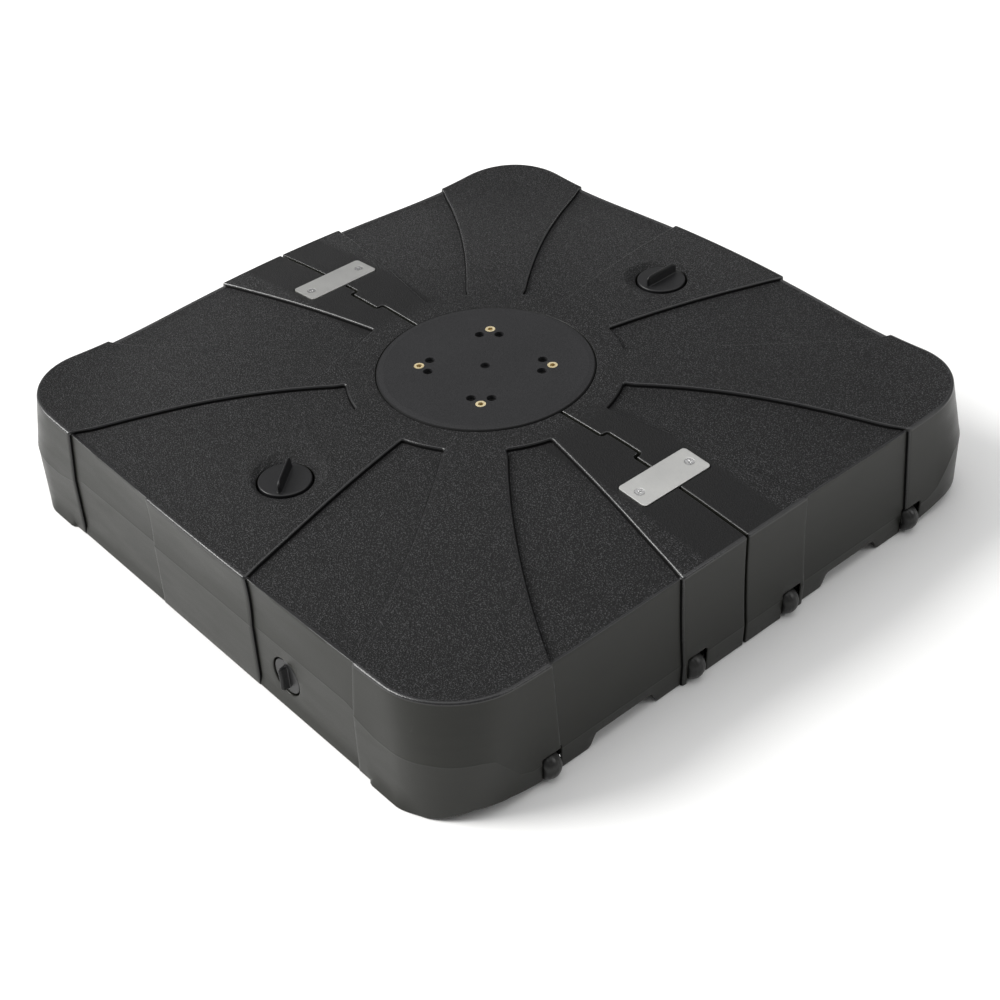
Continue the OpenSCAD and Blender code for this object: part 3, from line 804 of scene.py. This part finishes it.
def blade(length, tall, foot, crest, nose, flare, dip=0.0):
    """Finger blade standing on z = 0, long along X, with a flared foot and a hollowed crest."""
    nx, rows = 41, []
    e = foot * 0.5
    for i in range(nx):
        a = math.pi * i / (nx - 1)
        x = -length / 2 * math.cos(a)
        k = max(abs(x) - (length / 2 - nose), 0) / nose
        h = tall - nose * 0.9 * (1 - math.sqrt(max(1 - k * k, 0))) - dip * math.cos(math.pi * x / length) ** 2
        w = math.sqrt(max(1 - (max(abs(x) - (length / 2 - e), 0) / e) ** 2, 0.0))
        side = [(foot / 2 + flare, -0.05), (foot / 2 + flare * 0.45, flare * 0.18),
                (foot / 2 + flare * 0.12, flare * 0.5), (foot / 2, flare)]
        top = h - crest / 2
        for q in (0.35, 0.7, 1.0):
            z = flare + (top - flare) * q
            side.append((foot / 2 + (crest / 2 - foot / 2) * z / tall, z))
        for q in (25, 50, 75):
            ca = math.radians(q)
            side.append((crest / 2 * math.cos(ca), top + crest / 2 * math.sin(ca)))
        ring = [(y * (w if z > flare else (w + 0.25) / 1.25), z) for y, z in side]
        ring = ring + [(0.0, h)] + [(-y, z) for y, z in reversed(ring)]
        out = flare * 0.6 * (1 if x > 0 else -1) * (1 - w)
        rows.append([(x + (out if z < flare else 0), y, z) for y, z in ring])
    cols = len(rows[0])
    return [p for r in rows for p in r], grid_faces(nx, cols)


def thread(r_root, r_crest, z0, z1, pitch, n=72):
    """Stem with one helical thread, running out at both ends."""
    step = pitch / 8
    m = int((z1 - z0) / step)
    verts = []
    for i in range(m + 1):
        z = z0 + (z1 - z0) * i / m
        for j in range(n):
            a = 2 * math.pi * j / n
            ph = ((z - z0) / pitch - j / n) % 1.0
            k = smooth(np.array((0.33 - abs(ph - 0.5)) / 0.16))
            fade = min(smooth(np.array((z - z0) / pitch)), smooth(np.array((z1 - z) / pitch * 1.5)))
            r = r_root + (r_crest - r_root) * float(k * fade)
            verts.append((r * math.cos(a), r * math.sin(a), z))
    return verts, grid_faces(m + 1, n, True)


def ring_solid(profile, n=96):
    """Closed solid of revolution of a closed (r, z) outline."""
    verts, m = [], len(profile)
    for r, z in profile:
        verts += [(r * math.cos(2 * math.pi * i / n), r * math.sin(2 * math.pi * i / n), z)
                  for i in range(n)]
    faces = []
    for a in range(m):
        b = (a + 1) % m
        for i in range(n):
            j = (i + 1) % n
            faces.append((a * n + i, a * n + j, b * n + j, b * n + i))
    return verts, faces


def joined(name, parts, place, body, node, sharp=38.0):
    """One object of several closed parts, standing in for a CAD node on its body."""
    verts, faces = [], []
    for v, f in parts:
        n = len(verts)
        verts += [tuple(place @ Vector(p)) for p in v]
        faces += [tuple(i + n for i in q) for q in f]
    ob = build(name, verts, faces, sharp)
    bm = bmesh.new()
    bm.from_mesh(ob.data)
    bmesh.ops.recalc_face_normals(bm, faces=bm.faces)
    bm.to_mesh(ob.data)
    bm.free()
    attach(ob, body)
    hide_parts(node)
    return ob


def arc(cx, cz, r, a0, a1, n):
    return [(cx + r * math.cos(math.radians(a0 + (a1 - a0) * k / n)),
             cz + r * math.sin(math.radians(a0 + (a1 - a0) * k / n))) for k in range(n + 1)]


def turned(parts, deg):
    R = Matrix.Rotation(math.radians(deg), 3, "Z")
    return [([tuple(R @ Vector(p)) for p in v], f) for v, f in parts]


def fill_cap(name, sign, turn):
    """Screw cap of a fill neck; turn is where its blade points, in degrees."""
    R, T, L = 32.5, 9.0, 19.0      # radius and thickness of the disc, length of the stem
    disc = [(0.0, 0.0), (R - 3.0, 0.0)]
    disc += arc(R - 1.6, -1.6, 1.6, 85, 0, 5)
    disc += [(R, -T + 0.8), (R - 0.8, -T), (19.0, -T), (19.0, -T - L + 2.0), (0.0, -T - L + 2.0)]
    stem = thread(23.4, 25.0, -T - L, -T + 0.3, 4.0)
    lip = ring_solid([(19.1, -T - 0.5), (23.5, -T - 0.5), (23.5, -T - L + 0.02), (22.9, -T - L),
                      (19.1, -T - L)])
    parts = [ring_solid(disc), stem, lip] + turned([blade(55, 15, 5.6, 2.2, 9, 1.0)], turn)
    place = Matrix.Rotation(math.pi if sign > 0 else 0.0, 4, "Z") @ Matrix.Translation((0, -CAP_Y, CAP_Z))
    return joined(name + "_moulded", parts, place, name, name)


def drain_plug(name, sign):
    """Screw plug of a drain port, turned to face out of its wall."""
    R, T, L = 23.0, 5.0, 17.0      # radius and thickness of the disc, length of the stem
    disc = [(0.0, 0.0), (R - 2.0, 0.0)]
    disc += arc(R - 1.0, -1.0, 1.0, 85, 0, 4)
    disc += [(R, -T + 0.5), (R - 0.5, -T), (12.0, -T), (12.0, -T - 2 - L + 2), (0.0, -T - 2 - L + 2)]
    stem = thread(16.0, 17.0, -T - 2 - L, -T + 0.2, 3.0)
    lip = ring_solid([(12.1, -T - 0.5), (16.05, -T - 0.5), (16.05, -T - 1.98 - L), (15.6, -T - 2 - L),
                      (12.1, -T - 2 - L)])
    parts = [ring_solid(disc), stem, lip] + turned([blade(34, 10.6, 6.4, 3.2, 5, 1.0, 0.5)], 90)
    place = (Matrix.Rotation(math.pi if sign > 0 else 0.0, 4, "Z")
             @ Matrix.Translation((DRAIN_X, -DRAIN_FACE, DRAIN_Z)) @ Matrix.Rotation(math.pi / 2, 4, "X"))
    return joined(name + "_moulded", parts, place, name, name)


def wheel(name, side, y):
    """Barrel-shaped wheel: radius R in the middle and E at the ends, W long."""
    R, E, W, bore = 18.0, 12.0, 24.0, 3.05
    b = R - E
    big = (W * W / 4 + b * b) / (2 * b)
    out = []
    for k in range(-11, 12):
        z = (W / 2 - 0.7) * k / 11
        r = R - big + math.sqrt(big * big - z * z)
        if abs(k) in (4, 5):
            r -= 0.25
        out.append((r, z))
    hub = 6.2
    end = [(E - 0.5, W / 2), (hub + 0.9, W / 2), (hub + 0.3, W / 2 - 0.7), (hub - 0.5, W / 2 - 0.7),
           (hub - 1.0, W / 2), (bore + 0.5, W / 2), (bore, W / 2 - 0.5)]
    out += end + [(r, -z) for r, z in reversed(end)]
    place = (Matrix.Translation((side * AXLE_X, y - side * WHEEL_SHIFT, AXLE_Z))
             @ Matrix.Rotation(math.pi / 2, 4, "X"))
    return joined(name + "_barrel", [ring_solid(out, 72)], place, name, name, 30)


def softened(node, name, width, steps=2, limit=32.0):
    """Copy of a CAD node with its edges broken by a small bevel, and its flat faces kept flat."""
    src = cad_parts[node]
    ob = linked(name, src.data.copy())
    bm = bmesh.new()
    bm.from_mesh(ob.data)
    bmesh.ops.remove_doubles(bm, verts=bm.verts, dist=1e-6)
    bmesh.ops.dissolve_limit(bm, angle_limit=math.radians(1.0), verts=bm.verts, edges=bm.edges)
    edges = [e for e in bm.edges
             if len(e.link_faces) == 2 and e.calc_face_angle(0) > math.radians(limit)]
    bmesh.ops.bevel(bm, geom=edges, offset=width * MM, offset_type="OFFSET", segments=steps, profile=0.5,
                    affect="EDGES", clamp_overlap=True)
    bm.normal_update()
    planes = [f.normal.copy() for f in bm.faces if f.calc_area() > 5e-4]
    bmesh.ops.triangulate(bm, faces=[f for f in bm.faces if len(f.verts) > 4])

    def level(f):
        return any(f.normal.dot(n) > 0.99996 for n in planes)

    for f in bm.faces:
        f.smooth = True
    for e in bm.edges:
        if len(e.link_faces) != 2:
            continue
        edge_of_flat = level(e.link_faces[0]) != level(e.link_faces[1])
        if e.calc_face_angle(0) > math.radians(1.5 if edge_of_flat else 28):
            e.smooth = False
    bm.to_mesh(ob.data)
    bm.free()
    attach(ob, "base")
    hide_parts(node)
    return ob


PIECES = {
    "cap": [fill_cap("fill_cap_front", -1, -50.0), fill_cap("fill_cap_back", 1, 91.0),
            drain_plug("drain_plug_front", -1), drain_plug("drain_plug_back", 1)],
    "wheel": [wheel("wheel_%s_%d" % (side, i + 1), sign, sign * y)
              for i, y in enumerate((-304.0, -80.0, 80.0, 304.0))
              for side, sign in (("right", 1), ("left", -1))],
    "hub": [softened("hub_plate", "hub_plate_moulded", 0.5)],
    "plate": [softened("link_plate_right", "strap_right_eased", 0.5),
              softened("link_plate_left", "strap_left_eased", 0.5)],
}


# ---------------- materials
def material(name, build_nodes, **sockets):
    """Node material; each socket is a uniform value of the shader, by its name with underscores."""
    m = bpy.data.materials.new(name)
    m.use_nodes = True
    nt = m.node_tree
    b = nt.nodes["Principled BSDF"]
    for k, v in sockets.items():
        b.inputs[k.replace("_", " ")].default_value = v
    build_nodes(nt, b)
    return m


class Graph:
    """Short names for the shader nodes used here."""

    def __init__(self, nt):
        self.nt = nt

    def node(self, kind, **props):
        n = self.nt.nodes.new(kind)
        for k, v in props.items():
            setattr(n, k, v)
        return n

    def link(self, a, b):
        self.nt.links.new(a, b)

    def coords(self):
        return self.node("ShaderNodeTexCoord").outputs["Object"]

    def noise(self, scale, detail=4, rough=0.55, vec=None):
        n = self.node("ShaderNodeTexNoise")
        for k, v in (("Scale", scale), ("Detail", detail), ("Roughness", rough)):
            n.inputs[k].default_value = v
        self.link(vec if vec is not None else self.coords(), n.inputs["Vector"])
        return n.outputs["Fac"]

    def ramp(self, fac, stops):
        r = self.node("ShaderNodeValToRGB")
        while len(r.color_ramp.elements) < len(stops):
            r.color_ramp.elements.new(0.5)
        for e, (p, c) in zip(r.color_ramp.elements, stops):
            e.position = p
            e.color = (*c, 1)
        self.link(fac, r.inputs["Fac"])
        return r.outputs["Color"]

    def span(self, fac, a, b, lo=0.0, hi=1.0):
        r = self.node("ShaderNodeMapRange")
        for k, v in (("From Min", lo), ("From Max", hi), ("To Min", a), ("To Max", b)):
            r.inputs[k].default_value = v
        self.link(fac, r.inputs["Value"])
        return r.outputs["Result"]

    def math(self, op, a, b=None):
        n = self.node("ShaderNodeMath", operation=op)
        for i, v in enumerate((a, b)):
            if v is None:
                continue
            if isinstance(v, (int, float)):
                n.inputs[i].default_value = v
            else:
                self.link(v, n.inputs[i])
        return n.outputs[0]

    def mix(self, a, share_a, b, share_b):
        return self.math("ADD", self.math("MULTIPLY", a, share_a), self.math("MULTIPLY", b, share_b))

    def bump(self, height, strength, dist):
        n = self.node("ShaderNodeBump")
        n.inputs["Strength"].default_value = strength
        n.inputs["Distance"].default_value = dist
        self.link(height, n.inputs["Height"])
        return n.outputs["Normal"]


def plastic(name, dark, light, rough, grain_scale, grain, spec=0.5):
    """Moulded plastic with a fine grain, between two tones."""
    def nodes(nt, b):
        g = Graph(nt)
        fine = g.noise(grain_scale, 3, 0.6)
        wide = g.noise(9, 3, 0.5)
        g.link(g.ramp(g.mix(fine, 0.7, wide, 0.3), [(0.3, dark), (0.7, light)]), b.inputs["Base Color"])
        g.link(g.span(wide, rough - 0.05, rough + 0.06, 0.3, 0.7), b.inputs["Roughness"])
        g.link(g.bump(fine, grain, 0.0006), b.inputs["Normal"])
    return material(name, nodes, Specular_IOR_Level=spec)


def deck_material():
    """Coarse moulded leather grain; its tops are glossier and painted light as glints."""
    def nodes(nt, b):
        g = Graph(nt)
        vec = g.coords()
        cell = g.node("ShaderNodeTexVoronoi", feature="SMOOTH_F1")
        cell.inputs["Scale"].default_value = 520
        cell.inputs["Smoothness"].default_value = 0.55
        g.link(vec, cell.inputs["Vector"])
        grain = g.noise(640, 3, 0.65, vec)
        grit = g.noise(1250, 2, 0.6, vec)
        sep = g.node("ShaderNodeSeparateXYZ")
        g.link(vec, sep.inputs[0])
        out = g.span(g.math("ABSOLUTE", sep.outputs["X"]), 0.0, 1.0, 0.15, 0.19)
        # the strip beside the seam, outside the hub, is plain: a smoother grain, and darker as painted shade
        near = g.span(g.math("ABSOLUTE", sep.outputs["Y"]), 1.0, 0.0, 0.058, 0.066)
        plain = g.math("MULTIPLY", near, out)
        wide = g.noise(6, 4, 0.55, vec)
        h = g.mix(grain, 1.0, cell.outputs["Distance"], -0.55)
        h = g.math("ADD", h, g.math("MULTIPLY", grit, 0.35))
        glint_tops = g.span(h, 0.0, 1.0, 0.40, 0.68)
        # in the plain strip the grain tops are darkened: partly a smoother grain, partly painted shade
        glint_tops = g.math("MULTIPLY", glint_tops, g.span(plain, 1.0, 0.25))
        tone = g.mix(glint_tops, 0.75, wide, 0.25)
        # dark grain with light tops: partly the grain's own tone, partly painted glints on the tops
        g.link(g.ramp(tone, [(0.1, (0.002, 0.002, 0.0023)), (0.35, (0.006, 0.006, 0.0065)),
                             (0.75, (0.060, 0.060, 0.063))]), b.inputs["Base Color"])
        g.link(g.math("ADD", g.span(glint_tops, 0.66, 0.30), g.span(wide, -0.04, 0.05, 0.3, 0.7)),
               b.inputs["Roughness"])
        g.link(g.bump(g.math("MULTIPLY", h, g.span(plain, 1.0, 0.5)), 1.0, 0.0018), b.inputs["Normal"])
    return material("tank_deck_grain", nodes, Specular_IOR_Level=0.30)


def wall_material():
    """Satin moulded wall with faint flow marks and scuffs low down."""
    def nodes(nt, b):
        g = Graph(nt)
        vec = g.coords()
        sep = g.node("ShaderNodeSeparateXYZ")
        g.link(vec, sep.inputs[0])
        mp = g.node("ShaderNodeMapping")
        g.link(vec, mp.inputs["Vector"])
        mp.inputs["Scale"].default_value = (1, 1, 5)
        flow = g.noise(11, 4, 0.6, mp.outputs["Vector"])
        fine = g.noise(1300, 2, 0.6, vec)
        wide = g.noise(5, 3, 0.5, vec)
        scuff = g.noise(60, 5, 0.7, mp.outputs["Vector"])
        low = g.span(sep.outputs["Z"], 1.0, 0.0, 0.0, 0.06)
        marks = g.math("MULTIPLY", g.span(scuff, 0.0, 1.0, 0.56, 0.72),
                       g.math("ADD", g.math("MULTIPLY", low, 0.5), 0.12))
        tone = g.mix(flow, 0.6, wide, 0.4)
        tone = g.math("ADD", tone, g.math("MULTIPLY", marks, 0.35))
        g.link(g.ramp(tone, [(0.3, (0.0102, 0.0105, 0.0085)), (0.7, (0.0160, 0.0164, 0.0135))]),
               b.inputs["Base Color"])
        g.link(g.math("ADD", g.span(flow, 0.32, 0.41, 0.3, 0.7), g.math("MULTIPLY", marks, 0.14)),
               b.inputs["Roughness"])
        g.link(g.bump(g.math("ADD", fine, g.math("MULTIPLY", flow, 0.8)), 0.10, 0.0005), b.inputs["Normal"])
    return material("tank_wall_satin", nodes, Specular_IOR_Level=0.26)


def hub_material():
    """Fine-grained satin disc, its outer edge painted darker as shade of the gap round it."""
    def nodes(nt, b):
        g = Graph(nt)
        vec = g.coords()
        flat = g.node("ShaderNodeVectorMath", operation="MULTIPLY")
        flat.inputs[1].default_value = (1, 1, 0)
        g.link(vec, flat.inputs[0])
        r = g.node("ShaderNodeVectorMath", operation="LENGTH")
        g.link(flat.outputs["Vector"], r.inputs[0])
        # rim masks the outer edge: painted shade there, darker and rougher, for the dark gap round the plate
        rim = g.span(r.outputs["Value"], 1.0, 0.0, 0.1370, 0.1382)
        fine = g.noise(800, 3, 0.62, vec)
        wide = g.noise(9, 3, 0.5, vec)
        tone = g.mix(g.span(fine, 0.0, 1.0, 0.3, 0.7), 0.7, wide, 0.3)
        tone = g.math("MULTIPLY", tone, rim)
        g.link(g.ramp(tone, [(0.05, (0.002, 0.002, 0.0022)), (0.3, (0.007, 0.007, 0.008)),
                             (0.8, (0.021, 0.021, 0.0225))]), b.inputs["Base Color"])
        g.link(g.math("ADD", g.span(rim, 0.85, 0.52), g.span(fine, 0.05, -0.07, 0.3, 0.7)),
               b.inputs["Roughness"])
        g.link(g.bump(fine, 0.45, 0.0008), b.inputs["Normal"])
    return material("hub_plastic_satin", nodes, Specular_IOR_Level=0.30)


def metal(name, dark, light, rough, scale=(1, 1, 1), freq=400, bump=0.08):
    """Bare metal; scale stretches its fine marks."""
    def nodes(nt, b):
        g = Graph(nt)
        mp = g.node("ShaderNodeMapping")
        g.link(g.coords(), mp.inputs["Vector"])
        mp.inputs["Scale"].default_value = scale
        fine = g.noise(freq, 4, 0.6, mp.outputs["Vector"])
        wide = g.noise(25, 3, 0.5)
        g.link(g.ramp(g.mix(fine, 0.5, wide, 0.5), [(0.3, dark), (0.7, light)]), b.inputs["Base Color"])
        g.link(g.span(fine, rough - 0.06, rough + 0.08, 0.3, 0.7), b.inputs["Roughness"])
        g.link(g.bump(fine, bump, 0.0004), b.inputs["Normal"])
    return material(name, nodes, Metallic=1.0)


# name, dark tone, light tone, roughness, grain scale, grain height, specular
MATS = {
    "tank": deck_material(),
    "wall": wall_material(),
    "rim": plastic("worn_grain_edges", (0.004, 0.004, 0.0045), (0.018, 0.018, 0.019),
                   0.28, 700, 0.45, 0.55),
    "rib": plastic("worn_wall_edges", (0.006, 0.006, 0.0055), (0.012, 0.012, 0.011),
                   0.28, 900, 0.12, 0.5),
    # near-black, dull material at the foot of each step: painted shade in the crease
    "corner": plastic("shade_painted_in_steps", (0.0015, 0.0015, 0.0015), (0.004, 0.004, 0.004),
                      0.8, 900, 0.3, 0.1),
    "hub": hub_material(),
    "cap": plastic("cap_plastic_satin", (0.005, 0.005, 0.0055), (0.011, 0.011, 0.012),
                   0.38, 600, 0.08, 0.36),
    "wheel": plastic("wheel_plastic_satin", (0.010, 0.010, 0.0095), (0.018, 0.018, 0.017),
                     0.38, 500, 0.12, 0.4),
    "rubber": plastic("seal_rubber_matt", (0.012, 0.012, 0.012), (0.02, 0.02, 0.02), 0.7, 800, 0.2),
    "screw": plastic("black_screw_finish", (0.004, 0.004, 0.004), (0.009, 0.009, 0.009),
                     0.45, 900, 0.1, 0.25),
    "brass": metal("brass_turned", (0.86, 0.70, 0.40), (0.98, 0.88, 0.62), 0.45),
    "steel": metal("steel_bright", (0.62, 0.62, 0.62), (0.86, 0.86, 0.86), 0.24),
    "plate": metal("plate_satin_metal", (0.56, 0.56, 0.55), (0.68, 0.68, 0.66),
                   0.42, (1, 12, 1), 220, 0.12),
}
SKIN_SLOTS = ("tank", "wall", "rim", "rib", "corner")
DECK, WALL, RIM, RIB, CORNER = range(len(SKIN_SLOTS))


def dress(ob, *keys):
    ob.data.materials.clear()
    for k in keys:
        ob.data.materials.append(MATS[k])


def skin_slot(kind, nz, z):
    """Material slot of a skin face, from its zone, its upward lean and its height."""
    # the foot of a step takes the painted shade
    if kind == ZONE_STEP_SHADE:
        return CORNER
    if kind == ZONE_STEP:
        return RIM if z > 0.15 else RIB
    if kind == ZONE_RIM:
        return RIM if nz > 0.3 else RIB
    return DECK if nz > 0.62 and z > 0.15 else WALL


for ob in (front, back):
    dress(ob, *SKIN_SLOTS)
    zone = ob.data.attributes["zone"].data
    for poly in ob.data.polygons:
        poly.material_index = skin_slot(zone[poly.index].value, poly.normal.z, poly.center.z)
for key, obs in PIECES.items():
    for ob in obs:
        dress(ob, key)
BY_NODE = {"hub_plate": "hub", "hub_inserts": "brass", "hub_bushes": "brass", "link_bushes": "brass",
           "hub_screws": "screw", "link_plate_right": "plate", "link_plate_left": "plate",
           "link_screws": "steel", "tank_front": "tank", "tank_back": "tank"}
for n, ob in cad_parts.items():
    key = BY_NODE.get(n)
    if key is None:
        key = ("cap" if "cap" in n or "plug" in n else "rubber" if "seal" in n
               else "wheel" if "wheel" in n else "steel")
    dress(ob, key)

# ---------------- stage, light, camera
FLOOR = 30            # half width of the floor, m
floor_mesh = bpy.data.meshes.new("floor")
floor_mesh.from_pydata([(x * FLOOR, y * FLOOR, 0) for x, y in ((-1, -1), (1, -1), (1, 1), (-1, 1))],
                       [], [(0, 1, 2, 3)])
floor = linked("floor", floor_mesh)


def floor_nodes(nt, b):
    g = Graph(nt)
    n = g.noise(0.8, 3)
    g.link(g.ramp(n, [(0.3, (0.93, 0.93, 0.925)), (0.7, (0.95, 0.95, 0.945))]), b.inputs["Base Color"])


floor.data.materials.append(material("floor_pale", floor_nodes, Roughness=0.9, Specular_IOR_Level=0.1))

world = bpy.data.worlds.new("studio")
bpy.context.scene.world = world
world.use_nodes = True
bg = world.node_tree.nodes["Background"]
bg.inputs["Color"].default_value = (1.0, 1.0, 1.0, 1)
bg.inputs["Strength"].default_value = 0.29


def sun(name, towards, strength, spread, color=(1, 1, 1)):
    """Far soft light that stands in the direction towards and is spread degrees wide."""
    L = bpy.data.lights.new(name, "SUN")
    L.energy = strength
    L.angle = math.radians(spread)
    L.color = color
    ob = linked(name, L)
    ob.rotation_euler = Vector(towards).to_track_quat("Z", "Y").to_euler()


sun("key", (-0.60, -0.58, 0.55), 4.0, 34, (1.0, 0.995, 0.98))
sun("top", (-0.15, 0.05, 1.0), 1.2, 70)
sun("rim", (0.62, 0.52, 0.60), 0.5, 25)

# the photo's camera: B points from the object back to it
cam_data = bpy.data.cameras.new("camera")
cam = linked("camera", cam_data)
cam_data.sensor_width = 36.0
cam_data.lens = 64.233
az, el, roll = math.radians(51.0524), math.radians(37.9557), math.radians(-3.7829)
B = Vector((math.sin(az) * math.cos(el), -math.cos(az) * math.cos(el), math.sin(el)))
R = Vector((math.cos(az), math.sin(az), 0))
U = B.cross(R)
right = math.cos(roll) * R + math.sin(roll) * U
upv = -math.sin(roll) * R + math.cos(roll) * U
cam.matrix_world = Matrix.Translation((1.4710, -1.1800, 1.4377)) @ Matrix(
    ((right.x, upv.x, B.x, 0), (right.y, upv.y, B.y, 0), (right.z, upv.z, B.z, 0), (0, 0, 0, 1)))
cam_data.clip_start, cam_data.clip_end = 0.05, 60
bpy.context.scene.camera = cam
bpy.context.scene.view_settings.view_transform = "Standard"
